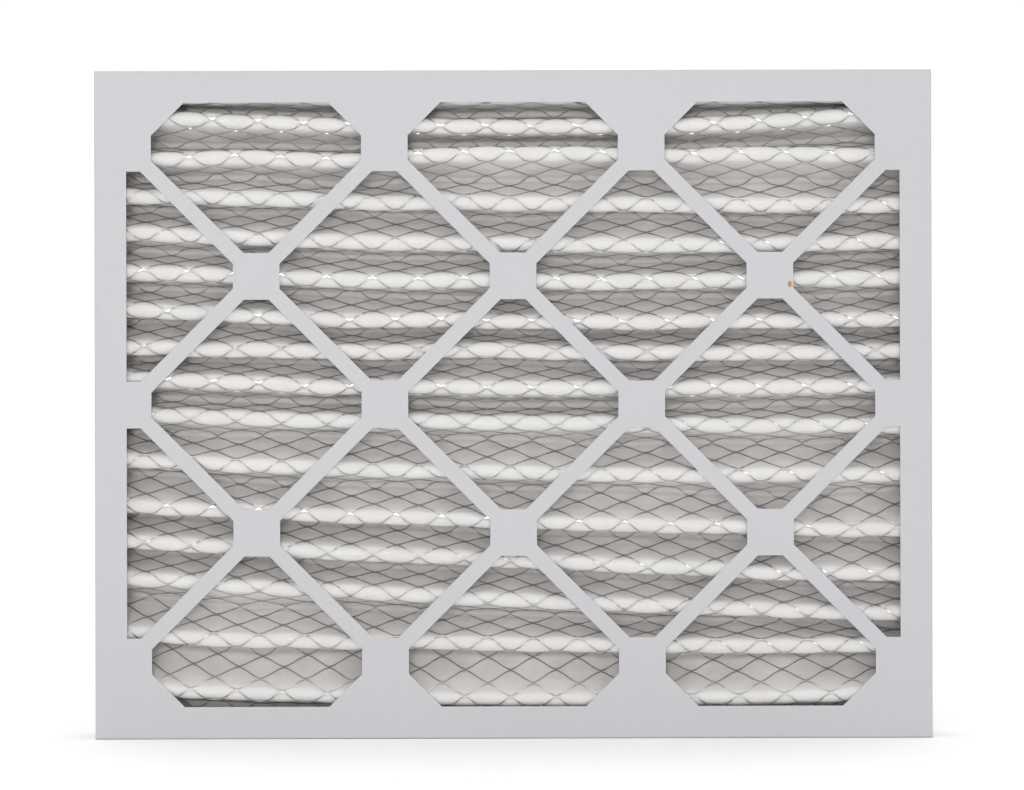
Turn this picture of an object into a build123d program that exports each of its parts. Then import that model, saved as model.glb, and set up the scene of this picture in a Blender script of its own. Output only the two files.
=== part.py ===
from build123d import *
import math
import os

# Pleated panel air filter, in millimetres: X across the panel, Y through it, Z up.
# It stands on its long edge. The downstream face, with the metal grid, looks towards -Y.
# The origin is at the middle of the bottom edge.

# Frame
frame_width = 628.65
frame_height = 501.65
frame_depth = 44.45
board_thickness = 0.75
fold_radius = 1.2
nest_clearance = 0.1
corner_tab_length = 30.0

# Windows die-cut through both face boards: a diagonal lattice of straps that cross at pads
border_width = 24.0
window_step = 96.4
strap_width = 11.5
pad_width = 35.0

# Pleated media
media_thickness = 2.5
pleat_fold_radius = 4.1
tip_clearance = 0.3
flap_length = 20.0

# Spacing of the folds from the top edge down. The first share runs from the flap to the first
# crest, and the rest run from crest to crest. The pleats are set unevenly.
crest_shares = (11, 20, 25, 35, 29.5, 28, 30.5, 24.5, 25.5, 27.5, 36, 38, 29.5, 29.5, 31.5, 40.5, 24.5)
# Where the valley lies between two crests, as a share of that spacing
valley_shares = (0.5, 0.55, 0.48, 0.3, 0.36, 0.34, 0.3, 0.3, 0.53, 0.42, 0.33, 0.28, 0.3, 0.47, 0.18, 0.5)

# Expanded metal grid, laid on the downstream side of the media and pleated with it
grid_thickness = 0.6
grid_clearance = 0.15
gaps_per_row = 3
gap_bond_width = 6.0
gap_strand_width = 1.0

# Adhesive between the pleated pack and the frame
end_glue_thickness = 1.0
edge_glue_thickness = 0.6

front = -frame_depth / 2
back = frame_depth / 2
frame_middle = frame_height / 2

# Space inside the nested walls, where the pleated pack is glued in
nest_step = board_thickness + nest_clearance
inner_half_width = frame_width / 2 - 2 * nest_step - board_thickness
inner_bottom = nest_step + board_thickness
inner_top = frame_height - inner_bottom
pack_half_width = inner_half_width - end_glue_thickness


def block(x_low, x_high, y_low, y_high, z_low, z_high):
    """A box given by its two corners."""
    size = (x_high - x_low, y_high - y_low, z_high - z_low)
    middle = ((x_low + x_high) / 2, (y_low + y_high) / 2, (z_low + z_high) / 2)
    return Pos(*middle) * Box(*size)


def window_centres():
    """The window centres that lie inside the border, in alternate places of a square grid."""
    half_width = frame_width / 2 - border_width
    half_height = frame_middle - border_width
    columns = int(half_width / window_step)
    rows = int(half_height / window_step)
    return [
        (column * window_step, row * window_step)
        for row in range(-rows, rows + 1)
        for column in range(-columns, columns + 1)
        if (row + column) % 2 == 0
    ]


def windows():
    """The octagonal windows of one face board, cut off where they run under the border."""
    reach = window_step - pad_width / 2
    corner = window_step - strap_width / math.sqrt(2) - reach
    octagon = [
        (reach, corner), (corner, reach), (-corner, reach), (-reach, corner),
        (-reach, -corner), (-corner, -reach), (corner, -reach), (reach, -corner),
    ]
    field = Rectangle(frame_width - 2 * border_width, frame_height - 2 * border_width)
    shape = Polygon(*octagon, align=None)
    cut = [Pos(x, z) * shape & field for x, z in window_centres()]
    upright = Plane(origin=(0, 0, frame_middle), x_dir=(1, 0, 0), z_dir=(0, -1, 0))
    return [extrude(upright * face, amount=frame_depth, both=True) for face in cut]


def tray(half_width, bottom, top, board_face, wall_end, tab_end):
    """A board tray folded from one die-cut blank: a face board and four walls, with corner tabs.

    board_face is the outer side of the face board, and the walls run from it to wall_end.
    """
    inward = 1 if wall_end > board_face else -1
    board_inside = board_face + inward * board_thickness
    y_low, y_high = sorted((board_face, wall_end))
    outside = block(-half_width, half_width, y_low, y_high, bottom, top)
    folds = outside.faces().sort_by(Axis.Y)[0 if inward > 0 else -1].edges()
    outside = fillet(folds, fold_radius)
    y_low, y_high = sorted((board_inside, wall_end))
    wall = board_thickness
    inside = block(-half_width + wall, half_width - wall, y_low, y_high, bottom + wall, top - wall)
    folds = inside.faces().sort_by(Axis.Y)[0 if inward > 0 else -1].edges()
    result = outside - fillet(folds, fold_radius - board_thickness)

    y_low, y_high = sorted((board_inside + inward * fold_radius, tab_end))
    for side in (-1, 1):
        x_low, x_high = sorted((side * (half_width - wall), side * (half_width - 2 * wall)))
        for z_low, z_high in (
            (bottom + wall, bottom + wall + corner_tab_length),
            (top - wall - corner_tab_length, top - wall),
        ):
            result += block(x_low, x_high, y_low, y_high, z_low, z_high)
    return result


def downstream_tray():
    """The outer tray. Its face board carries the windows in front of the metal grid."""
    pan = tray(frame_width / 2, 0, frame_height, front, back, back - nest_step)
    front_windows = [
        window & block(-frame_width, frame_width, front - 1, 0, 0, frame_height) for window in windows()
    ]
    return pan - front_windows


def upstream_tray():
    """The inner tray, with its walls nested in those of the outer one."""
    half_width = frame_width / 2 - 2 * nest_step + nest_clearance
    wall_end = front + board_thickness + fold_radius
    pan = tray(half_width, nest_step, frame_height - nest_step, back, wall_end, wall_end)
    rear_windows = [
        window & block(-frame_width, frame_width, 0, back + 1, 0, frame_height) for window in windows()
    ]
    return pan - rear_windows


def fold_centres():
    """The middle of each fold's arc as (y, z), with its side: -1 at a crest in front, 1 at a valley.

    The first fold is the valley at the top flap, and the last is the crest at the bottom flap.
    """
    reach = pleat_fold_radius + media_thickness / 2
    crest_y = front + board_thickness + tip_clearance + grid_thickness + grid_clearance + reach
    valley_y = back - board_thickness - tip_clearance - reach
    z = inner_top - edge_glue_thickness - reach
    last_z = inner_bottom + edge_glue_thickness + grid_thickness + grid_clearance + reach
    scale = (z - last_z) / sum(crest_shares)

    folds = [(valley_y, z, 1)]
    z -= crest_shares[0] * scale
    folds.append((crest_y, z, -1))
    for spacing, valley_share in zip(crest_shares[1:], valley_shares):
        folds.append((valley_y, z - spacing * scale * valley_share, 1))
        z -= spacing * scale
        folds.append((crest_y, z, -1))
    return folds


def fold_radius_at(side, offset):
    """The radius of a fold on the surface that lies offset in front of the media's middle."""
    return pleat_fold_radius - side * offset


def flank(upper, lower, offset):
    """The ends of the straight flank from one fold to the next, and the direction across it."""
    upper_y, upper_z, upper_side = upper
    lower_y, lower_z, lower_side = lower
    upper_radius = fold_radius_at(upper_side, offset)
    lower_radius = fold_radius_at(lower_side, offset)
    run = Vector(0, lower_y - upper_y, lower_z - upper_z)
    along = run.normalized()
    across = Vector(0, along.Z, -along.Y) if along.Y > 0 else Vector(0, -along.Z, along.Y)
    share = (upper_radius + lower_radius) / run.length
    normal = along * share + across * math.sqrt(1 - share**2)
    start = Vector(0, upper_y, upper_z) + normal * upper_radius
    end = Vector(0, lower_y, lower_z) - normal * lower_radius
    return start, end, normal


def surface_path(offset):
    """One surface of the pleated sheet in the YZ plane, from the top flap to the bottom flap."""
    folds = fold_centres()
    first_y, first_z, first_side = folds[0]
    last_y, last_z, last_side = folds[-1]
    arrival = Vector(0, first_y, first_z + fold_radius_at(first_side, offset))
    path = [Line(arrival - Vector(0, flap_length, 0), arrival)]
    for index, (y, z, side) in enumerate(folds):
        radius = fold_radius_at(side, offset)
        tip = Vector(0, y + side * radius, z)
        if index < len(folds) - 1:
            departure, next_arrival, _ = flank(folds[index], folds[index + 1], offset)
            path.append(ThreePointArc(arrival, tip, departure))
            path.append(Line(departure, next_arrival))
            arrival = next_arrival
        else:
            departure = Vector(0, y, z - radius)
            path.append(ThreePointArc(arrival, tip, departure))
            path.append(Line(departure, departure + Vector(0, flap_length, 0)))
    return path


def pleated_sheet(near_offset, far_offset):
    """A sheet that follows the pleats between two offsets from the media's middle."""
    near = surface_path(near_offset)
    far = surface_path(far_offset)
    ends = [Line(near[0] @ 0, far[0] @ 0), Line(near[-1] @ 1, far[-1] @ 1)]
    section = make_face(near + far + ends)
    return Pos(-pack_half_width, 0, 0) * extrude(section, amount=2 * pack_half_width, dir=(1, 0, 0))


def pleated_media():
    return pleated_sheet(-media_thickness / 2, media_thickness / 2)


def expanded_metal_grid():
    """The pleated metal sheet with its rows of long diamond gaps, staggered from flank to flank."""
    near_offset = media_thickness / 2 + grid_clearance
    far_offset = near_offset + grid_thickness
    sheet = pleated_sheet(near_offset, far_offset)
    folds = fold_centres()
    gap_pitch = 2 * pack_half_width / gaps_per_row
    half_length = (gap_pitch - gap_bond_width) / 2
    selvedge = pack_half_width - gap_bond_width / 2
    gaps = []
    for row, (upper, lower) in enumerate(zip(folds, folds[1:])):
        start, end, normal = flank(upper, lower, near_offset)
        run = end - start
        half_height = run.length / 2 - gap_strand_width
        diamond = Polygon(
            (-half_length, 0), (0, half_height), (half_length, 0), (0, -half_height), align=None
        )
        field = Rectangle(2 * selvedge, 2 * half_height)
        shift = 0 if row % 2 == 0 else gap_pitch / 2
        first = -pack_half_width + gap_pitch / 2 - shift
        on_flank = Plane(origin=start + run * 0.5, x_dir=(1, 0, 0), z_dir=normal)
        for column in range(gaps_per_row + row % 2):
            opening = Pos(first + column * gap_pitch, 0) * diamond & field
            gaps.append(extrude(on_flank * opening, amount=2 * grid_thickness, both=True))
    return sheet - gaps


def end_glue(side):
    """The layer that bonds the pleat ends to a side wall, between its corner tabs."""
    x_low, x_high = sorted((side * pack_half_width, side * inner_half_width))
    y_low = front + board_thickness + tip_clearance
    y_high = back - board_thickness - tip_clearance
    z_low = inner_bottom + corner_tab_length
    z_high = inner_top - corner_tab_length
    return block(x_low, x_high, y_low, y_high, z_low, z_high)


def edge_glue(side):
    """The layer that bonds an end flap of the pleated pack to the top or bottom wall."""
    folds = fold_centres()
    if side > 0:
        y_low, y_high = folds[0][0] - flap_length, folds[0][0]
        z_low, z_high = inner_top - edge_glue_thickness, inner_top
    else:
        y_low, y_high = folds[-1][0], folds[-1][0] + flap_length
        z_low, z_high = inner_bottom, inner_bottom + edge_glue_thickness
    return block(-pack_half_width, pack_half_width, y_low, y_high, z_low, z_high)


nodes = {
    "downstream_tray": downstream_tray(),
    "upstream_tray": upstream_tray(),
    "pleated_media": pleated_media(),
    "expanded_metal_grid": expanded_metal_grid(),
    "left_end_glue": end_glue(-1),
    "right_end_glue": end_glue(1),
    "top_edge_glue": edge_glue(1),
    "bottom_edge_glue": edge_glue(-1),
}

os.makedirs("parts", exist_ok=True)
for name, solid in nodes.items():
    export_step(solid, f"parts/{name}.step")
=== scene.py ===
import math

import bpy
import numpy as np
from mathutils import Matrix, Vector


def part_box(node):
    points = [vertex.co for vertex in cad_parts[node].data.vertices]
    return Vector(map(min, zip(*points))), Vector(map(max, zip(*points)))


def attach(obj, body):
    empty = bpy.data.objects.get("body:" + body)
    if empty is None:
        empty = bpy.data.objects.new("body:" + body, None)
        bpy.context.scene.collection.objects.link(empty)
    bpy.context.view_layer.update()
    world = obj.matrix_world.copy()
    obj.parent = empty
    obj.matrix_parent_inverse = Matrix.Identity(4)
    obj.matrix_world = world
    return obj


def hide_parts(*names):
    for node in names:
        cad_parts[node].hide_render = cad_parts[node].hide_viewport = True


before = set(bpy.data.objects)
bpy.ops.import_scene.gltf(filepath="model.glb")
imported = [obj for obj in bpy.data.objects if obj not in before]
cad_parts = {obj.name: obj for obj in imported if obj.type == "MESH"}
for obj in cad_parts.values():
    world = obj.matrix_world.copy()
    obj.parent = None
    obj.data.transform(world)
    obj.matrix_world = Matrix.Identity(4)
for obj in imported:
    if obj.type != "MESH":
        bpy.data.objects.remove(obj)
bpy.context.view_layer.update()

bl_info = {
    "name": "Pleated Panel Air Filter",
    "version": (1, 0, 0),
    "blender": (4, 5, 0),
    "location": "View3D > Sidebar > Air Filter",
    "description": "Pleated media and its metal grid in a die-cut board frame",
    "category": "Add Mesh",
}

MM = 0.001
BODY = "root"
MEDIA_LOW, MEDIA_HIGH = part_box("pleated_media")
FRAME_LOW, FRAME_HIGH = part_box("downstream_tray")
MIDDLE_HEIGHT = (FRAME_LOW[2] + FRAME_HIGH[2]) / 2
PACK_HALF_WIDTH = MEDIA_HIGH[0]
TRAYS = ("downstream_tray", "upstream_tray")
GLUE_LAYERS = ("left_end_glue", "right_end_glue", "top_edge_glue", "bottom_edge_glue")

# Shares of the height from the top edge down: the first is from the flap to the first crest, and
# the rest are from crest to crest. Each valley lies at a share of the way between its two crests.
CREST_SHARES = (
    11.2, 20.0, 24.8, 35.1, 29.7, 28.1, 30.1, 24.7, 25.4, 27.7, 36.4, 37.2, 29.9, 29.3, 31.8, 41.2, 23.4,
)
VALLEY_SHARES = (
    0.5, 0.54, 0.45, 0.28, 0.36, 0.36, 0.3, 0.31, 0.47, 0.36, 0.36, 0.3, 0.32, 0.4, 0.2, 0.5,
)

# How far each crest drops towards the right-hand end and arches over the middle, in millimetres
CREST_DROPS = (
    0.0, 0.5, -1.2, 4.5, 4.1, 2.8, 4.1, 2.1, 3.2, 5.1, 6.4, 10.3, 14.1, 14.8, 7.2, 2.5, 0.0,
)
CREST_ARCHES = (
    -1.0, -9.5, 3.5, -2.3, -6.0, -5.8, -5.8, -2.6, -5.4, -1.9, -4.8, -3.2, -2.4, -3.5, -6.2, -7.6, 0.0,
)

# Rows of diamonds from each crest to the next, and the row that the first crest lies on
ROWS_BETWEEN_CRESTS = (
    6.4, 7.35, 6.25, 6.95, 6.85, 6.75, 7.15, 6.8, 6.8, 6.65, 6.85, 6.7, 6.75, 6.8, 6.7, 6.8,
)
FIRST_CREST_ROW = -19.5

# Where a crest sags on its own: which crest from 0 at the top, then its place across, its reach to
# each side and its drop, in millimetres. A drop below 0 is a rise.
LOCAL_SAGS = (
    (1, -92, 22, -2.0), (1, 245, 35, -1.8), (2, -126, 45, 4.2), (2, 112, 38, 2.4), (3, -95, 30, 1.4),
    (5, -100, 35, 1.2), (6, -130, 45, 1.4), (7, -22, 45, -1.8), (8, -142, 30, 2.0), (9, -150, 50, 1.2),
    (12, 195, 40, 1.8), (14, -120, 50, 2.0), (14, -235, 80, 4.5),
)

# The seed and the wavelengths, in metres, of the random waves in the crests' height, the valleys'
# place and the crests' depth
HEIGHT_WAVES = (3, (0.23, 0.11, 0.06))
VALLEY_WAVES = (5, (0.31, 0.17))
DEPTH_WAVES = (7, (0.27, 0.13))

# How far a valley wanders, as a share of its spacing, and how far a crest may lie behind the front
VALLEY_WANDER = 0.05
CREST_SETBACK = 0.5 * MM

# How far the sheet runs on past its first and last folds, along the top and bottom walls
FLAP_LENGTH = 20 * MM

# How far the middle of the metal grid lies in front of the media
GRID_RISE = 0.3 * MM

# How full the media swells in a diamond, in its shape and in the finer relief of its material:
# nearer to 0, it rises more steeply from the strands
SWELL_POWER = 0.6
RELIEF_POWER = 0.5


def millimetres(name, value, description):
    """A length property that is given in millimetres."""
    return bpy.props.FloatProperty(
        name=name, description=description, default=value * MM, min=0, precision=5, unit="LENGTH"
    )


def colour(name, value, description):
    """A linear colour property."""
    return bpy.props.FloatVectorProperty(
        name=name, description=description, default=value, size=3, min=0, max=1, subtype="COLOR"
    )


class PleatSizes(bpy.types.PropertyGroup):
    """Sizes of the pleated media."""

    thickness: millimetres("Media thickness", 2.5, "Thickness of the non-woven sheet")
    fold_radius: millimetres("Fold radius", 4.1, "Radius of each fold at the middle of the sheet")
    puff: millimetres("Puff", 0.7, "How far the media swells out through a diamond of the grid")
    pinch: millimetres("Pinch", 0.35, "How far a strand of the grid presses into the media")
    ripple: millimetres("Ripple", 0.6, "How far a crest wanders up and down along its length")


class GridSizes(bpy.types.PropertyGroup):
    """Sizes of the expanded metal grid."""

    long_way: millimetres("Long way", 34.35, "Length of one diamond along the pleats")
    row_step: millimetres("Row step", 13.2, "Half the height of one diamond in the flat sheet")
    strand_width: millimetres("Strand width", 0.7, "Width of one strand")
    strand_thickness: millimetres("Strand thickness", 0.42, "Thickness of the metal")
    roundness: bpy.props.FloatProperty(
        name="Roundness", description="How far a diamond's corners are rounded off, from 0 to 1",
        default=0.55, min=0, max=1,
    )
    node_offset: bpy.props.FloatProperty(
        name="Node offset", description="Where a joint of the even rows lies along the pleats",
        default=-105.7 * MM, precision=5, unit="LENGTH",
    )
    tilt: bpy.props.FloatProperty(
        name="Strand tilt", description="Turn of each strand out of the sheet from stretching",
        default=math.radians(-14), subtype="ANGLE",
    )


class FinishColours(bpy.types.PropertyGroup):
    """Colours of the finishes, and the painted light and shade of the media."""

    board: colour("Board", (0.468, 0.466, 0.485), "Clay-coated board")
    media: colour("Media", (0.63, 0.623, 0.613), "Non-woven media on the folds")
    # Painted shade: the flanks just behind the crests get a darker colour than the crests
    media_painted_shade: colour("Media painted shade", (0.58, 0.563, 0.551), "Painted shade on the media just behind the folds")
    # Painted light: the media deep in the pleats gets a lighter colour, standing in for light that
    # passes through the sheet
    media_painted_light: colour("Media painted light", (0.79, 0.768, 0.752), "Painted light on the media deep in the pleats")
    # Painted shade: a darker colour on the valley floors and towards both ends of the pleats
    media_painted_floor_and_end_shade: colour("Media painted floor and end shade", (0.56, 0.543, 0.528), "Painted shade on the valley floors and towards the ends")
    metal: colour("Metal", (0.64, 0.63, 0.62), "Galvanised grid")
    glue: colour("Glue", (0.78, 0.74, 0.62), "Set adhesive")
    speck: colour("Speck", (0.36, 0.20, 0.06), "Brown speck on the board")
    smudge: colour("Smudge", (0.55, 0.45, 0.33), "Faint smudge on the board")


class StageSettings(bpy.types.PropertyGroup):
    """Camera, light and floor."""

    camera_distance: bpy.props.FloatProperty(
        name="Camera distance", description="From the camera to the front face",
        default=2.2, unit="LENGTH",
    )
    camera_rise: millimetres("Camera rise", 6.9, "Height of the camera above the panel's middle")
    view_width: millimetres("View width", 768.6, "Width that the camera takes in at the front face")
    camera_roll: bpy.props.FloatProperty(
        name="Camera roll", description="Turn of the camera about its own line of sight",
        default=math.radians(0.14), subtype="ANGLE",
    )
    top_strength: bpy.props.FloatProperty(
        name="Top strength", description="Strength of the broad light straight overhead", default=1.25
    )
    front_power: bpy.props.FloatProperty(
        name="Front power", description="Power of the light above and behind the camera",
        default=32, unit="POWER",
    )
    horizon: bpy.props.FloatProperty(
        name="Horizon", description="Strength of the light from the white walls all round", default=1.05
    )
    ceiling: bpy.props.FloatProperty(
        name="Ceiling", description="Strength of the light from overhead", default=0.66
    )


# The folded sheet

def per_line(values, x):
    """One value for each line, shaped so that each spreads over places x."""
    return np.reshape(values, (-1, *[1] * np.ndim(x)))


def smooth_noise(x, count, seed, lengths):
    """A gentle random wave across the panel for each of several lines, from -1 to 1 or so."""
    random = np.random.default_rng(seed)
    wave = np.zeros((count,) + np.shape(x))
    for length in lengths:
        phase = random.uniform(0, 2 * math.pi, count)
        reach = length * random.uniform(0.8, 1.25, count)
        wave += np.sin(2 * math.pi * np.multiply.outer(1 / reach, x) + per_line(phase, x))
    return wave / len(lengths)


def fold_places(sizes, x):
    """Depth, height and side of every fold's arc centre, at places x across the panel.

    The side is -1 for a crest in front and 1 for a valley. The first fold is the valley at the top
    flap, and the last is the crest at the bottom flap.
    """
    reach = sizes.fold_radius + sizes.thickness / 2
    crest_depth, valley_depth = MEDIA_LOW[1] + reach, MEDIA_HIGH[1] - reach
    top, bottom = MEDIA_HIGH[2] - reach, MEDIA_LOW[2] + reach
    shares = np.array(CREST_SHARES) / sum(CREST_SHARES)
    level = top - (top - bottom) * np.cumsum(shares)

    across = x / PACK_HALF_WIDTH
    count = len(level)
    drops = np.array(CREST_DROPS) * MM
    arches = np.array(CREST_ARCHES) * MM
    sway = -np.multiply.outer(drops, across) + np.multiply.outer(arches, 1 / 3 - across**2)
    ripple = sizes.ripple * smooth_noise(x, count, *HEIGHT_WAVES)
    ripple[-1] = 0
    crest = per_line(level, x) + sway + ripple
    for index, place, reach_across, drop in LOCAL_SAGS:
        crest[index] -= drop * MM * np.exp(-(((x - place * MM) / (reach_across * MM)) ** 2))
    wander = VALLEY_WANDER * smooth_noise(x, count - 1, *VALLEY_WAVES)
    valley = crest[:-1] - (per_line(VALLEY_SHARES, x) + wander) * (crest[:-1] - crest[1:])

    height = np.empty((2 * count,) + np.shape(x))
    depth = np.empty_like(height)
    side = np.tile([1, -1], count)
    height[0] = top
    height[2::2] = valley
    height[1::2] = crest
    depth[0::2] = valley_depth
    depth[1::2] = crest_depth + CREST_SETBACK * (1 + smooth_noise(x, count, *DEPTH_WAVES)) / 2
    return depth, height, side


def flank_normals(sizes, depth, height):
    """For each flank, the direction from the upper fold's centre to where the flank leaves it."""
    run_y, run_z = np.diff(depth, axis=0), np.diff(height, axis=0)
    length = np.hypot(run_y, run_z)
    along_y, along_z = run_y / length, run_z / length
    forwards = np.where(along_y > 0, 1.0, -1.0)
    share = 2 * sizes.fold_radius / length
    rest = np.sqrt(1 - share**2)
    return along_y * share + forwards * along_z * rest, along_z * share - forwards * along_y * rest


def middle_section(sizes):
    """Halfway across the panel: the side and the turn of each fold, and the length of each flank."""
    depth, height, side = fold_places(sizes, np.array(0.0))
    normal_y, normal_z = flank_normals(sizes, depth, height)
    leave = np.append(np.arctan2(normal_z, side[:-1] * normal_y), -math.pi / 2)
    arrive = np.insert(np.arctan2(-normal_z, -side[1:] * normal_y), 0, math.pi / 2)
    spans = np.hypot(np.diff(depth), np.diff(height))
    flanks = np.sqrt(spans**2 - (2 * sizes.fold_radius) ** 2)
    return side, arrive - leave, flanks


def section_stations(sizes):
    """Where each flap, fold and flank begins along the flat sheet, and where the crests' tips are.

    Lengths are taken in the metal grid, because it keeps its length and the media gives.
    """
    side, turns, flanks = middle_section(sizes)
    lengths = np.empty(len(turns) + len(flanks) + 2)
    lengths[0::2] = (FLAP_LENGTH, *flanks, FLAP_LENGTH)
    lengths[1::2] = (sizes.fold_radius - side * (sizes.thickness / 2 + GRID_RISE)) * turns
    stations = np.insert(np.cumsum(lengths), 0, 0.0)
    return stations, (stations[3::4] + stations[4::4]) / 2


def sheet_length(sizes):
    """Length that the media is cut to, measured at the middle of its thickness."""
    _, turns, flanks = middle_section(sizes)
    return float(2 * FLAP_LENGTH + sizes.fold_radius * np.sum(turns) + np.sum(flanks))


def flat_stations(sizes, grid):
    """The stations moved so that each crest lies on its own row of diamonds."""
    stations, tips = section_stations(sizes)
    rows = FIRST_CREST_ROW + np.insert(np.cumsum(ROWS_BETWEEN_CRESTS), 0, 0.0)
    tip_places = rows * grid.row_step
    moved = np.interp(stations, tips, tip_places)
    before, after = stations < tips[0], stations > tips[-1]
    moved[before] = tip_places[0] + stations[before] - tips[0]
    moved[after] = tip_places[-1] + stations[after] - tips[-1]
    return moved


def fold(sizes, stations, x, along, offset):
    """Takes flat places on the sheet to their places in the pleats.

    x is across the panel, along is down the flat sheet, and offset is in front of its middle.
    """
    last = len(stations) - 2
    element = np.clip(np.searchsorted(stations, along, side="right") - 1, 0, last)
    share = (along - stations[element]) / (stations[element + 1] - stations[element])
    depth, height, side = fold_places(sizes, x)
    normal_y, normal_z = flank_normals(sizes, depth, height)
    everyone = np.arange(len(x))
    folds = len(side)
    result_y, result_z = np.empty_like(x), np.empty_like(x)

    # Round the folds
    on_arc = element % 2 == 1
    index = np.clip((element - 1) // 2, 0, folds - 1)
    above, below = np.clip(index - 1, 0, folds - 2), np.clip(index, 0, folds - 2)
    turn = side[index]
    leave = np.arctan2(normal_z[below, everyone], turn * normal_y[below, everyone])
    leave = np.where(index == folds - 1, -math.pi / 2, leave)
    arrive = np.arctan2(-normal_z[above, everyone], -turn * normal_y[above, everyone])
    arrive = np.where(index == 0, math.pi / 2, arrive)
    angle = arrive + (leave - arrive) * share
    radius = sizes.fold_radius - turn * offset
    arc_y = depth[index, everyone] + turn * radius * np.cos(angle)
    arc_z = height[index, everyone] + radius * np.sin(angle)
    result_y[on_arc], result_z[on_arc] = arc_y[on_arc], arc_z[on_arc]

    # Down the flanks
    on_flank = (element % 2 == 0) & (element > 0) & (element < last)
    upper = np.clip(element // 2 - 1, 0, folds - 2)
    upper_radius = sizes.fold_radius - side[upper] * offset
    lower_radius = sizes.fold_radius - side[upper + 1] * offset
    start_y = depth[upper, everyone] + upper_radius * normal_y[upper, everyone]
    start_z = height[upper, everyone] + upper_radius * normal_z[upper, everyone]
    end_y = depth[upper + 1, everyone] - lower_radius * normal_y[upper, everyone]
    end_z = height[upper + 1, everyone] - lower_radius * normal_z[upper, everyone]
    flank_y = start_y + (end_y - start_y) * share
    flank_z = start_z + (end_z - start_z) * share
    result_y[on_flank], result_z[on_flank] = flank_y[on_flank], flank_z[on_flank]

    # Along the flaps
    at_top, at_bottom = element == 0, element == last
    top_y = depth[0] - (1 - share) * FLAP_LENGTH
    result_y[at_top] = top_y[at_top]
    result_z[at_top] = (height[0] + sizes.fold_radius - offset)[at_top]
    bottom_y = depth[-1] + share * FLAP_LENGTH
    result_y[at_bottom] = bottom_y[at_bottom]
    result_z[at_bottom] = (height[-1] - sizes.fold_radius - offset)[at_bottom]
    return np.column_stack((x, result_y, result_z))


def diamond_swell(grid, x, along):
    """How far a place is from the strands of the grid: 0 on a strand and 1 amid a diamond."""
    row = along / grid.row_step
    column = 2 * (x - grid.node_offset) / grid.long_way
    rising = np.abs(np.sin(math.pi * (row - column) / 2))
    falling = np.abs(np.sin(math.pi * (row + column) / 2))
    return (rising * falling) ** SWELL_POWER


# Helpers for modelling

def coordinates(mesh):
    """All vertices of a mesh as an array."""
    points = np.empty(len(mesh.vertices) * 3)
    mesh.vertices.foreach_get("co", points)
    return points.reshape(-1, 3)


def set_coordinates(mesh, points):
    """Moves all vertices of a mesh to the given points."""
    mesh.vertices.foreach_set("co", points.ravel())
    mesh.update()


def keep_flat_places(mesh, points):
    """Stores where each vertex lies on the flat sheet, for the materials to follow."""
    layer = mesh.attributes.new("flat_place", "FLOAT_VECTOR", "POINT")
    layer.data.foreach_set("vector", points.astype(np.float32).ravel())


def only(piece):
    """Selects one piece alone and makes it active."""
    bpy.ops.object.select_all(action="DESELECT")
    piece.select_set(True)
    bpy.context.view_layer.objects.active = piece


def apply_modifier(piece, kind, **settings):
    """Adds a modifier to a piece and applies it."""
    only(piece)
    modifier = piece.modifiers.new(kind.title(), kind)
    for name, value in settings.items():
        setattr(modifier, name, value)
    bpy.ops.object.modifier_apply(modifier=modifier.name)


def finish_skin(piece, sharp_angle):
    """Turns the faces of a closed piece outwards and smooths all but its sharp edges."""
    only(piece)
    bpy.ops.object.mode_set(mode="EDIT")
    bpy.ops.mesh.select_all(action="SELECT")
    bpy.ops.mesh.normals_make_consistent(inside=False)
    bpy.ops.object.mode_set(mode="OBJECT")
    bpy.ops.object.shade_smooth_by_angle(angle=sharp_angle)


def add_flat_sheet(name, places_across, places_along):
    """A flat grid with its columns and rows at the given places."""
    bpy.ops.object.select_all(action="DESELECT")
    columns, rows = len(places_across) - 1, len(places_along) - 1
    bpy.ops.mesh.primitive_grid_add(x_subdivisions=columns, y_subdivisions=rows, size=1, calc_uvs=False)
    sheet = bpy.context.active_object
    sheet.name = sheet.data.name = name
    points = coordinates(sheet.data)
    column = np.rint((points[:, 0] + 0.5) * columns).astype(int)
    row = np.rint((points[:, 1] + 0.5) * rows).astype(int)
    points[:, 0], points[:, 1] = places_across[column], places_along[row]
    set_coordinates(sheet.data, points)
    return sheet


def rows_along(stations, crest_steps, valley_steps, flank_steps):
    """Places for the rows of a sheet, with so many steps to each crest, valley and flank."""
    places = [stations[:1]]
    for element, (start, end) in enumerate(zip(stations, stations[1:])):
        if element % 2 == 0:
            steps = flank_steps
        else:
            steps = crest_steps if (element - 1) // 2 % 2 else valley_steps
        places.append(np.linspace(start, end, steps + 1)[1:])
    return np.concatenate(places)


# Materials

# The factor, first and second sockets of a Mix node for colours, and its result
COLOUR_MIX_INPUTS = (0, 6, 7)
COLOUR_MIX_OUTPUT = 2


def new_material(name):
    """A material with its shader and output, and a short way to add and link nodes."""
    material = bpy.data.materials.new(name)
    material.use_nodes = True
    tree = material.node_tree
    shader = tree.nodes["Principled BSDF"]

    def add(kind, inputs=None, **settings):
        node = tree.nodes.new(kind)
        for key, value in settings.items():
            setattr(node, key, value)
        for key, value in (inputs or {}).items():
            if isinstance(value, bpy.types.NodeSocket):
                tree.links.new(value, node.inputs[key])
            else:
                node.inputs[key].default_value = value
        return node

    return material, shader, add, tree.links.new


def blend_colours(add, factor, first, second):
    """A mix of two colours or colour sockets by a factor."""
    node = add("ShaderNodeMix", data_type="RGBA")
    for index, value in zip(COLOUR_MIX_INPUTS, (factor, first, second)):
        if isinstance(value, bpy.types.NodeSocket):
            node.id_data.links.new(value, node.inputs[index])
        else:
            node.inputs[index].default_value = (*value, 1)
    return node.outputs[COLOUR_MIX_OUTPUT]


def darker(tone, share):
    """A colour with each channel at a share of its value."""
    return [channel * share for channel in tone]


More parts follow.
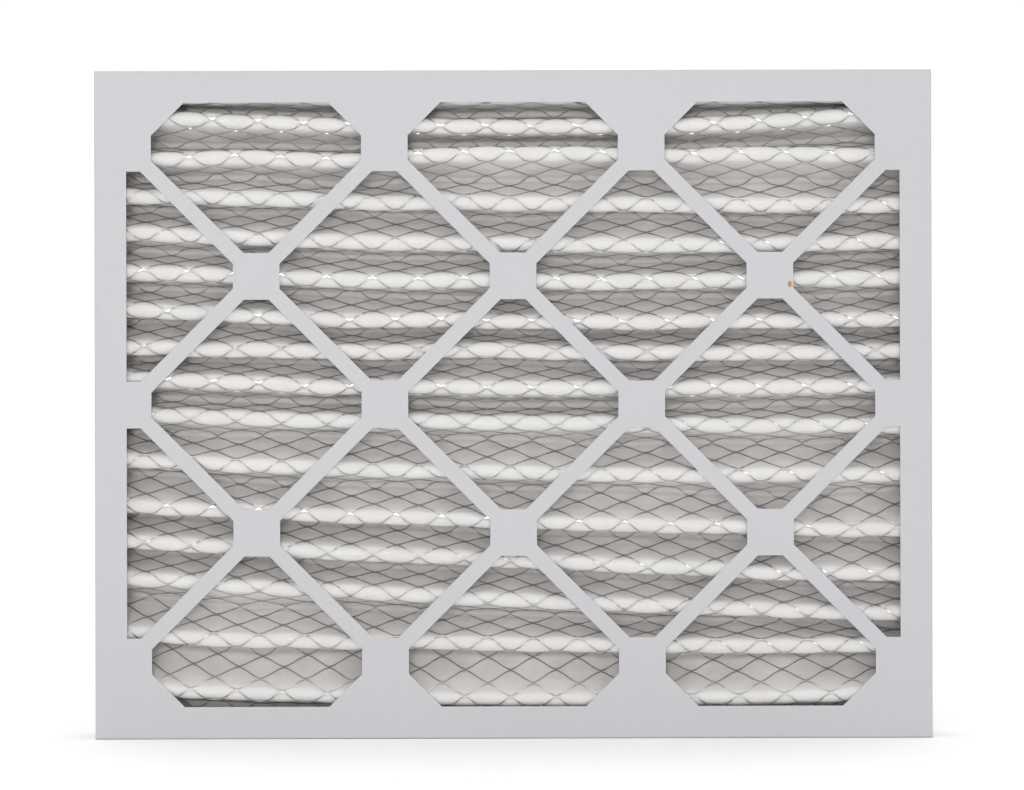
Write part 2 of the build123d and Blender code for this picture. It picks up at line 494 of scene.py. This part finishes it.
def ramp(add, value, low, high, start=0, end=1):
    """Takes a value from low to high onto start to end, clamped."""
    inputs = {"Value": value, "From Min": low, "From Max": high, "To Min": start, "To Max": end}
    return add("ShaderNodeMapRange", inputs).outputs[0]


def noise(add, place, scale, detail, **inputs):
    """A cloudy pattern from about 0 to 1."""
    inputs.update(Vector=place, Scale=scale, Detail=detail)
    return add("ShaderNodeTexNoise", inputs).outputs[0]


def calculate(add, operation, *values):
    """The result of a Math node."""
    return add("ShaderNodeMath", dict(enumerate(values)), operation=operation).outputs[0]


def relief(add, height, strength, distance, **under):
    """A bump of the given height pattern, on top of another where one is given."""
    inputs = {"Height": height, "Strength": strength, "Distance": distance, **under}
    return add("ShaderNodeBump", inputs).outputs[0]


def object_place(add):
    """The place on the piece, in metres."""
    return add("ShaderNodeTexCoord").outputs["Object"]


def board_material(colours):
    """Clay-coated board: pale grey and faintly mottled, with a brown speck and a faint smudge."""
    material, shader, add, link = new_material("coated_board")
    place = object_place(add)
    clouds = noise(add, place, scale=9, detail=4)
    grain = noise(add, place, scale=420, detail=3)
    face = blend_colours(add, ramp(add, clouds, 0.3, 0.7), colours.board, darker(colours.board, 0.965))
    face = blend_colours(add, ramp(add, grain, 0.35, 0.75), face, darker(colours.board, 0.955))

    def spot(across, up, size, softness):
        """1 within a spot on the front face and 0 outside it, with a soft edge."""
        middle = (across, FRAME_LOW[1], MIDDLE_HEIGHT + up)
        inputs = {"Vector": place, "Scale": [1 / s for s in size]}
        inputs["Location"] = [-p / s for p, s in zip(middle, size)]
        stretched = add("ShaderNodeMapping", inputs).outputs[0]
        distance = add("ShaderNodeVectorMath", {0: stretched}, operation="LENGTH").outputs["Value"]
        return ramp(add, distance, 1, 1 - softness)

    speck = spot(207.7 * MM, 89.7 * MM, (2.1 * MM, 4 * MM, 3.3 * MM), softness=0.5)
    face = blend_colours(add, speck, face, colours.speck)
    smudge = spot(165 * MM, 75.8 * MM, (4 * MM, 4 * MM, 3 * MM), softness=0.9)
    faint = calculate(add, "MULTIPLY", smudge, 0.35)
    face = blend_colours(add, faint, face, colours.smudge)
    link(face, shader.inputs["Base Color"])
    shader.inputs["Roughness"].default_value = 0.52
    shader.inputs["Specular IOR Level"].default_value = 0.35
    link(relief(add, grain, strength=0.12, distance=0.3 * MM), shader.inputs["Normal"])
    return material


def strand_distance(add, grid, flat):
    """Nodes that give 0 on a strand of the grid and 1 amid a diamond, on the flat sheet."""
    across, along, _ = add("ShaderNodeSeparateXYZ", {0: flat}).outputs
    shifted = calculate(add, "SUBTRACT", across, grid.node_offset)
    column = calculate(add, "MULTIPLY", shifted, 2 / grid.long_way)
    row = calculate(add, "MULTIPLY", along, 1 / grid.row_step)
    waves = []
    for slant in ("SUBTRACT", "ADD"):
        turn = calculate(add, "MULTIPLY", calculate(add, slant, row, column), math.pi / 2)
        waves.append(calculate(add, "ABSOLUTE", calculate(add, "SINE", turn)))
    return calculate(add, "POWER", calculate(add, "MULTIPLY", *waves), RELIEF_POWER)


def media_material(colours, grid, sizes):
    """Non-woven fibre: warm white, a little uneven, softly swollen between the strands."""
    material, shader, add, link = new_material("nonwoven_media")
    flat = add("ShaderNodeAttribute", attribute_name="flat_place").outputs["Vector"]
    across, depth, _ = add("ShaderNodeSeparateXYZ", {0: object_place(add)}).outputs
    front, rear = MEDIA_LOW[1], MEDIA_HIGH[1]
    # Painted shade on the flanks just behind the crests, where the folds keep the light off them
    painted_flank_shade = ramp(add, depth, front + 1.2 * MM, front + 5.5 * MM)
    # Painted light deep in the pleats
    deep = ramp(add, depth, front + 6 * MM, rear - 4 * MM)
    # Painted shade on the valley floors
    floor = ramp(add, depth, rear - 9 * MM, rear - 4 * MM)
    from_middle = calculate(add, "ABSOLUTE", across)
    # Painted shade towards both ends of the pleats
    near_end = ramp(add, from_middle, PACK_HALF_WIDTH - 55 * MM, PACK_HALF_WIDTH + 15 * MM)

    patchy = ramp(add, noise(add, flat, scale=26, detail=5, Roughness=0.6), 0.35, 0.8)
    crest = blend_colours(add, patchy, colours.media, darker(colours.media, 0.93))
    flank = blend_colours(add, deep, colours.media_painted_shade, colours.media_painted_light)
    flank = blend_colours(add, patchy, flank, darker(colours.media_painted_shade, 0.93))
    flank = blend_colours(add, floor, flank, colours.media_painted_floor_and_end_shade)
    # The crest colour in front gives way to the painted shade and painted light behind it
    tone = blend_colours(add, painted_flank_shade, crest, flank)
    link(blend_colours(add, near_end, tone, colours.media_painted_floor_and_end_shade), shader.inputs["Base Color"])
    finish = {
        "Roughness": 0.95,
        "Specular IOR Level": 0.15,
        "Sheen Weight": 0.15,
        "Subsurface Weight": 0.8,
        "Subsurface Radius": (1.0, 1.0, 1.0),
        "Subsurface Scale": 6 * MM,
    }
    for name, value in finish.items():
        shader.inputs[name].default_value = value

    stretched = add("ShaderNodeMapping", {"Vector": flat, "Scale": (0.35, 1, 1)}).outputs[0]
    fibres = noise(add, stretched, scale=700, detail=4, Distortion=0.8)
    lumps = noise(add, flat, scale=120, detail=3)
    swell = strand_distance(add, grid, flat)
    pillow = relief(add, swell, strength=0.5, distance=sizes.puff * 0.8)
    lumpy = relief(add, lumps, strength=0.5, distance=0.6 * MM, Normal=pillow)
    fuzzy = relief(add, fibres, strength=0.4, distance=0.3 * MM, Normal=lumpy)
    link(fuzzy, shader.inputs["Normal"])
    return material


def metal_material(colours):
    """Galvanised steel, with painted shade that darkens it deep in the pleats, where it is also rougher.
    """
    material, shader, add, link = new_material("galvanised_grid")
    place = object_place(add)
    patches = noise(add, place, scale=160, detail=3)
    tone = blend_colours(add, ramp(add, patches, 0.3, 0.7), darker(colours.metal, 0.75), colours.metal)
    depth = add("ShaderNodeSeparateXYZ", {0: place}).outputs[1]
    deep = ramp(add, depth, MEDIA_LOW[1] + 6 * MM, MEDIA_LOW[1] + 20 * MM)
    # Painted shade: the strands deep in the pleats are darkened
    link(blend_colours(add, deep, tone, darker(colours.metal, 0.6)), shader.inputs["Base Color"])
    shader.inputs["Metallic"].default_value = 1.0
    worn = ramp(add, patches, 0.3, 0.7, start=0.24, end=0.36)
    link(calculate(add, "MULTIPLY_ADD", deep, 0.35, worn), shader.inputs["Roughness"])
    return material


def glue_material(colours):
    """Set adhesive, cream and slightly glossy."""
    material, shader, add, link = new_material("set_adhesive")
    clouds = noise(add, object_place(add), scale=60, detail=3)
    tone = blend_colours(add, clouds, colours.glue, darker(colours.glue, 0.85))
    link(tone, shader.inputs["Base Color"])
    shader.inputs["Roughness"].default_value = 0.35
    link(relief(add, clouds, strength=0.4, distance=0.8 * MM), shader.inputs["Normal"])
    return material


# Pieces

class FILTER_OT_add_media(bpy.types.Operator):
    """Folds the flat sheet of media into pleats that swell between the strands of the grid"""

    bl_idname = "filter.add_media"
    bl_label = "Pleated Media"
    sharp_angle = math.radians(60)

    # The width of the front's columns, how many of them a column of the rear is wide, and the steps
    # round each crest, round each valley and down each flank
    column_step = 2.95 * MM
    rear_columns = 3
    front_steps = (9, 5, 5)
    rear_steps = (3, 3, 1)

    def execute(self, context):
        sizes, grid = context.scene.filter_pleats, context.scene.filter_grid
        stations = flat_stations(sizes, grid)
        columns = round(2 * PACK_HALF_WIDTH / self.column_step)
        front = self.skin(sizes, grid, stations, columns, self.front_steps, 1)
        rear = self.skin(sizes, grid, stations, columns // self.rear_columns, self.rear_steps, -1)
        rear.select_set(True)
        front.select_set(True)
        context.view_layer.objects.active = front
        bpy.ops.object.join()
        only(front)
        bpy.ops.object.mode_set(mode="EDIT")
        bpy.ops.mesh.select_all(action="DESELECT")
        bpy.ops.mesh.select_non_manifold()
        bpy.ops.mesh.bridge_edge_loops()
        bpy.ops.object.mode_set(mode="OBJECT")
        finish_skin(front, self.sharp_angle)
        front.name = front.data.name = "pleated_sheet"
        front.data.materials.append(media_material(context.scene.filter_colours, grid, sizes))
        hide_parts("pleated_media")
        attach(front, BODY)
        cut = (2 * PACK_HALF_WIDTH, sheet_length(sizes))
        return {"FINISHED"}

    def skin(self, sizes, grid, stations, columns, steps, way):
        """One side of the sheet, folded: way is 1 for the side under the grid and -1 for the rear."""
        across = np.linspace(-PACK_HALF_WIDTH, PACK_HALF_WIDTH, columns + 1)
        sheet = add_flat_sheet("media_skin", across, rows_along(stations, *steps))
        flat = coordinates(sheet.data)
        x, along = flat[:, 0], flat[:, 1]
        offset = np.full_like(x, way * sizes.thickness / 2)
        if way > 0:
            offset += diamond_swell(grid, x, along) * (sizes.puff + sizes.pinch) - sizes.pinch
        flat[:, 2] = offset
        keep_flat_places(sheet.data, flat)
        set_coordinates(sheet.data, fold(sizes, stations, x, along, offset))
        return sheet


class FILTER_OT_add_grid(bpy.types.Operator):
    """Lays out the flat sheet of expanded metal, strand by strand, and folds it with the media"""

    bl_idname = "filter.add_grid"
    bl_label = "Expanded Metal Grid"
    sharp_angle = math.radians(50)

    # Where a strand's sections lie, as shares of the way from one joint to the next
    strand_places = (0, 0.17, 0.38, 0.62, 0.83, 1)

    # How far the grid ends inside the media's sides and inside its flaps' ends
    side_margin = 0.5 * MM
    flap_margin = 1 * MM

    # In metres: how near points are that become one, and how near a point still counts as touching
    merge_distance = 1e-5
    tolerance = 1e-6

    def execute(self, context):
        sizes, grid = context.scene.filter_pleats, context.scene.filter_grid
        stations = flat_stations(sizes, grid)
        strand = self.strand(grid)
        first_row = math.floor(stations[0] / grid.row_step / 2) * 2
        last_row = math.ceil(stations[-1] / grid.row_step)
        first_column = math.floor((-PACK_HALF_WIDTH - grid.node_offset) / grid.long_way)
        last_column = math.ceil((PACK_HALF_WIDTH - grid.node_offset) / grid.long_way)
        columns = last_column - first_column
        apply_modifier(
            strand, "ARRAY", count=columns + 1, use_relative_offset=False, use_constant_offset=True,
            constant_offset_displace=(grid.long_way, 0, 0), use_merge_vertices=True,
            merge_threshold=self.merge_distance,
        )
        half_row = strand.copy()
        half_row.data = strand.data.copy()
        context.collection.objects.link(half_row)
        points = coordinates(half_row.data)
        points[:, 0] -= grid.long_way / 2
        points[:, 1] += grid.row_step
        set_coordinates(half_row.data, points)
        only(strand)
        half_row.select_set(True)
        bpy.ops.object.join()
        apply_modifier(
            strand, "ARRAY", count=(last_row - first_row) // 2 + 1, use_relative_offset=False,
            use_constant_offset=True, constant_offset_displace=(0, 2 * grid.row_step, 0),
        )
        points = coordinates(strand.data)
        points[:, 0] += grid.node_offset + first_column * grid.long_way
        points[:, 1] += first_row * grid.row_step
        set_coordinates(strand.data, points)
        self.trim(strand, stations)

        flat = coordinates(strand.data)
        keep_flat_places(strand.data, flat)
        offset = flat[:, 2] + sizes.thickness / 2 + GRID_RISE
        set_coordinates(strand.data, fold(sizes, stations, flat[:, 0], flat[:, 1], offset))
        finish_skin(strand, self.sharp_angle)
        strand.name = strand.data.name = "expanded_metal_strands"
        strand.data.materials.append(metal_material(context.scene.filter_colours))
        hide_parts("expanded_metal_grid")
        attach(strand, BODY)
        return {"FINISHED"}

    def strand(self, grid):
        """One period of a strand in the flat sheet: up from one joint to the next and down again."""
        slope = math.atan2(grid.row_step - grid.strand_width, grid.long_way / 2)
        half_width = grid.strand_width / 2 / math.cos(slope)
        bpy.ops.object.select_all(action="DESELECT")
        bpy.ops.mesh.primitive_plane_add(size=1, rotation=(0, math.radians(90), 0))
        strand = bpy.context.active_object
        bpy.ops.object.transform_apply()
        points = coordinates(strand.data)
        wide, thick = points[:, 1] * 2 * half_width, points[:, 2] * grid.strand_thickness
        cosine, sine = math.cos(grid.tilt), math.sin(grid.tilt)
        along, outwards = wide * cosine - thick * sine + half_width, wide * sine + thick * cosine
        set_coordinates(strand.data, np.column_stack((0 * wide, along, outwards)))

        rise = grid.row_step - 2 * half_width * cosine
        places = self.strand_places
        heights = [s + grid.roundness * ((1 - math.cos(math.pi * s)) / 2 - s) for s in places]
        climb = [
            ((place - previous) * grid.long_way / 2, (height - lower) * rise)
            for previous, place, lower, height in zip(places, places[1:], heights, heights[1:])
        ]
        drop = [(across, -up) for across, up in reversed(climb)]
        bpy.ops.object.mode_set(mode="EDIT")
        bpy.ops.mesh.select_all(action="SELECT")
        for across, up in climb + drop:
            bpy.ops.mesh.extrude_region_move(TRANSFORM_OT_translate={"value": (across, up, 0)})
        bpy.ops.object.mode_set(mode="OBJECT")
        self.open_ends(strand, grid)
        return strand

    def open_ends(self, strand, grid):
        """Takes the end faces off a strand, so that its copies join into one."""
        ends = (0, grid.long_way)
        bpy.ops.object.mode_set(mode="EDIT")
        bpy.ops.mesh.select_all(action="DESELECT")
        bpy.ops.object.mode_set(mode="OBJECT")
        for face in strand.data.polygons:
            places = [strand.data.vertices[v].co.x for v in face.vertices]
            face.select = any(all(abs(x - end) < self.tolerance for x in places) for end in ends)
        bpy.ops.object.mode_set(mode="EDIT")
        bpy.ops.mesh.select_mode(type="FACE")
        bpy.ops.mesh.delete(type="ONLY_FACE")
        bpy.ops.object.mode_set(mode="OBJECT")

    def trim(self, strand, stations):
        """Cuts the flat sheet of strands to the size of the media."""
        only(strand)
        bpy.ops.object.mode_set(mode="EDIT")
        edge = PACK_HALF_WIDTH - self.side_margin
        cuts = (
            ((edge, 0, 0), (1, 0, 0)),
            ((-edge, 0, 0), (-1, 0, 0)),
            ((0, stations[-1] - self.flap_margin, 0), (0, 1, 0)),
            ((0, stations[0] + self.flap_margin, 0), (0, -1, 0)),
        )
        for place, outwards in cuts:
            bpy.ops.mesh.select_all(action="SELECT")
            bpy.ops.mesh.bisect(plane_co=place, plane_no=outwards, clear_outer=True, use_fill=True)
        bpy.ops.object.mode_set(mode="OBJECT")


class FILTER_OT_finish_trays(bpy.types.Operator):
    """Gives both board trays the finish of coated board"""

    bl_idname = "filter.finish_trays"
    bl_label = "Board Trays"

    def execute(self, context):
        board = board_material(context.scene.filter_colours)
        for name in TRAYS:
            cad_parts[name].material_slots[0].material = board
        return {"FINISHED"}


class FILTER_OT_finish_glue(bpy.types.Operator):
    """Gives the layers of adhesive their finish"""

    bl_idname = "filter.finish_glue"
    bl_label = "Adhesive"

    def execute(self, context):
        glue = glue_material(context.scene.filter_colours)
        for name in GLUE_LAYERS:
            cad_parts[name].material_slots[0].material = glue
        return {"FINISHED"}


class FILTER_OT_set_stage(bpy.types.Operator):
    """Sets up the floor, the lights and the camera"""

    bl_idname = "filter.set_stage"
    bl_label = "Stage"

    # The floor, in metres, and how far it lies below the board so that the two don't flicker
    floor_size = 12
    floor_gap = 0.2 * MM

    # How wide the light overhead is, and where the light in front stands and how wide it is
    top_angle = math.radians(70)
    front_place = (-0.25, -3.2, 0.5)
    front_size = 0.7

    # How high the light from all round gives way to the light from overhead, from 0 level to 1 up
    fade_start, fade_end = 0.2, 0.42

    # How far the camera stands to the right of the panel's middle
    camera_across = -1.0 * MM

    def execute(self, context):
        stage = context.scene.filter_stage
        self.floor()
        self.lights(context, stage)
        self.camera(context, stage)
        context.scene.view_settings.view_transform = "Standard"
        return {"FINISHED"}

    def floor(self):
        """A pale floor."""
        bpy.ops.object.select_all(action="DESELECT")
        place = (0, 0, FRAME_LOW[2] - self.floor_gap)
        bpy.ops.mesh.primitive_plane_add(size=self.floor_size, location=place)
        floor = bpy.context.active_object
        floor.name = "floor"
        material, shader, _, _ = new_material("pale_floor")
        shader.inputs["Base Color"].default_value = (0.97, 0.97, 0.97, 1)
        shader.inputs["Roughness"].default_value = 0.9
        floor.data.materials.append(material)

    def lights(self, context, stage):
        """A broad light overhead, one above and behind the camera, and pale walls all round."""
        bpy.ops.object.light_add(type="SUN", location=(0, 0, 3))
        overhead = context.active_object
        overhead.name = "top_light"
        overhead.data.energy = stage.top_strength
        overhead.data.angle = self.top_angle

        bpy.ops.object.light_add(type="AREA", location=self.front_place)
        front = context.active_object
        front.name = "front_light"
        front.data.size = self.front_size
        front.data.energy = stage.front_power
        aim = Vector((0, 0, MIDDLE_HEIGHT)) - Vector(self.front_place)
        front.rotation_euler = aim.to_track_quat("-Z", "Y").to_euler()

        world = bpy.data.worlds.new("studio")
        context.scene.world = world
        world.use_nodes = True
        tree = world.node_tree
        direction = tree.nodes.new("ShaderNodeTexCoord").outputs["Generated"]
        height = tree.nodes.new("ShaderNodeSeparateXYZ")
        tree.links.new(direction, height.inputs[0])
        fade = tree.nodes.new("ShaderNodeMapRange")
        fade.inputs["From Min"].default_value = self.fade_start
        fade.inputs["From Max"].default_value = self.fade_end
        fade.inputs["To Min"].default_value = stage.horizon
        fade.inputs["To Max"].default_value = stage.ceiling
        tree.links.new(height.outputs[2], fade.inputs["Value"])
        background = tree.nodes["Background"]
        background.inputs["Color"].default_value = (1, 1, 1, 1)
        tree.links.new(fade.outputs[0], background.inputs["Strength"])

    def camera(self, context, stage):
        """A camera square on to the face with the metal grid."""
        height = MIDDLE_HEIGHT + stage.camera_rise
        place = (self.camera_across, FRAME_LOW[1] - stage.camera_distance, height)
        bpy.ops.object.camera_add(location=place, rotation=(math.radians(90), stage.camera_roll, 0))
        camera = context.active_object
        camera.name = "camera"
        camera.data.sensor_fit = "HORIZONTAL"
        camera.data.lens = camera.data.sensor_width * stage.camera_distance / stage.view_width
        context.scene.camera = camera


OPERATORS = (
    FILTER_OT_add_media,
    FILTER_OT_add_grid,
    FILTER_OT_finish_trays,
    FILTER_OT_finish_glue,
    FILTER_OT_set_stage,
)


class FILTER_PT_panel(bpy.types.Panel):
    """Lists the pieces of the air filter"""

    bl_idname = "FILTER_PT_panel"
    bl_label = "Pleated Panel Air Filter"
    bl_space_type = "VIEW_3D"
    bl_region_type = "UI"
    bl_category = "Air Filter"

    def draw(self, context):
        for group in SETTINGS:
            settings = getattr(context.scene, group)
            # The first two properties, rna_type and name, are Blender's own
            for name in settings.bl_rna.properties.keys()[2:]:
                self.layout.prop(settings, name)
        for operator in OPERATORS:
            self.layout.operator(operator.bl_idname)


SETTINGS = {
    "filter_pleats": PleatSizes,
    "filter_grid": GridSizes,
    "filter_colours": FinishColours,
    "filter_stage": StageSettings,
}


def register():
    """Registers the settings, the operators and the panel."""
    for group in SETTINGS.values():
        bpy.utils.register_class(group)
    for name, group in SETTINGS.items():
        setattr(bpy.types.Scene, name, bpy.props.PointerProperty(type=group))
    for operator in OPERATORS:
        bpy.utils.register_class(operator)
    bpy.utils.register_class(FILTER_PT_panel)


def unregister():
    """Takes back all that register did, in the opposite order."""
    bpy.utils.unregister_class(FILTER_PT_panel)
    for operator in reversed(OPERATORS):
        bpy.utils.unregister_class(operator)
    for name, group in SETTINGS.items():
        delattr(bpy.types.Scene, name)
        bpy.utils.unregister_class(group)


def main():
    register()
    bpy.ops.filter.add_media()
    bpy.ops.filter.add_grid()
    bpy.ops.filter.finish_trays()
    bpy.ops.filter.finish_glue()
    bpy.ops.filter.set_stage()


if __name__ == "__main__":
    main()
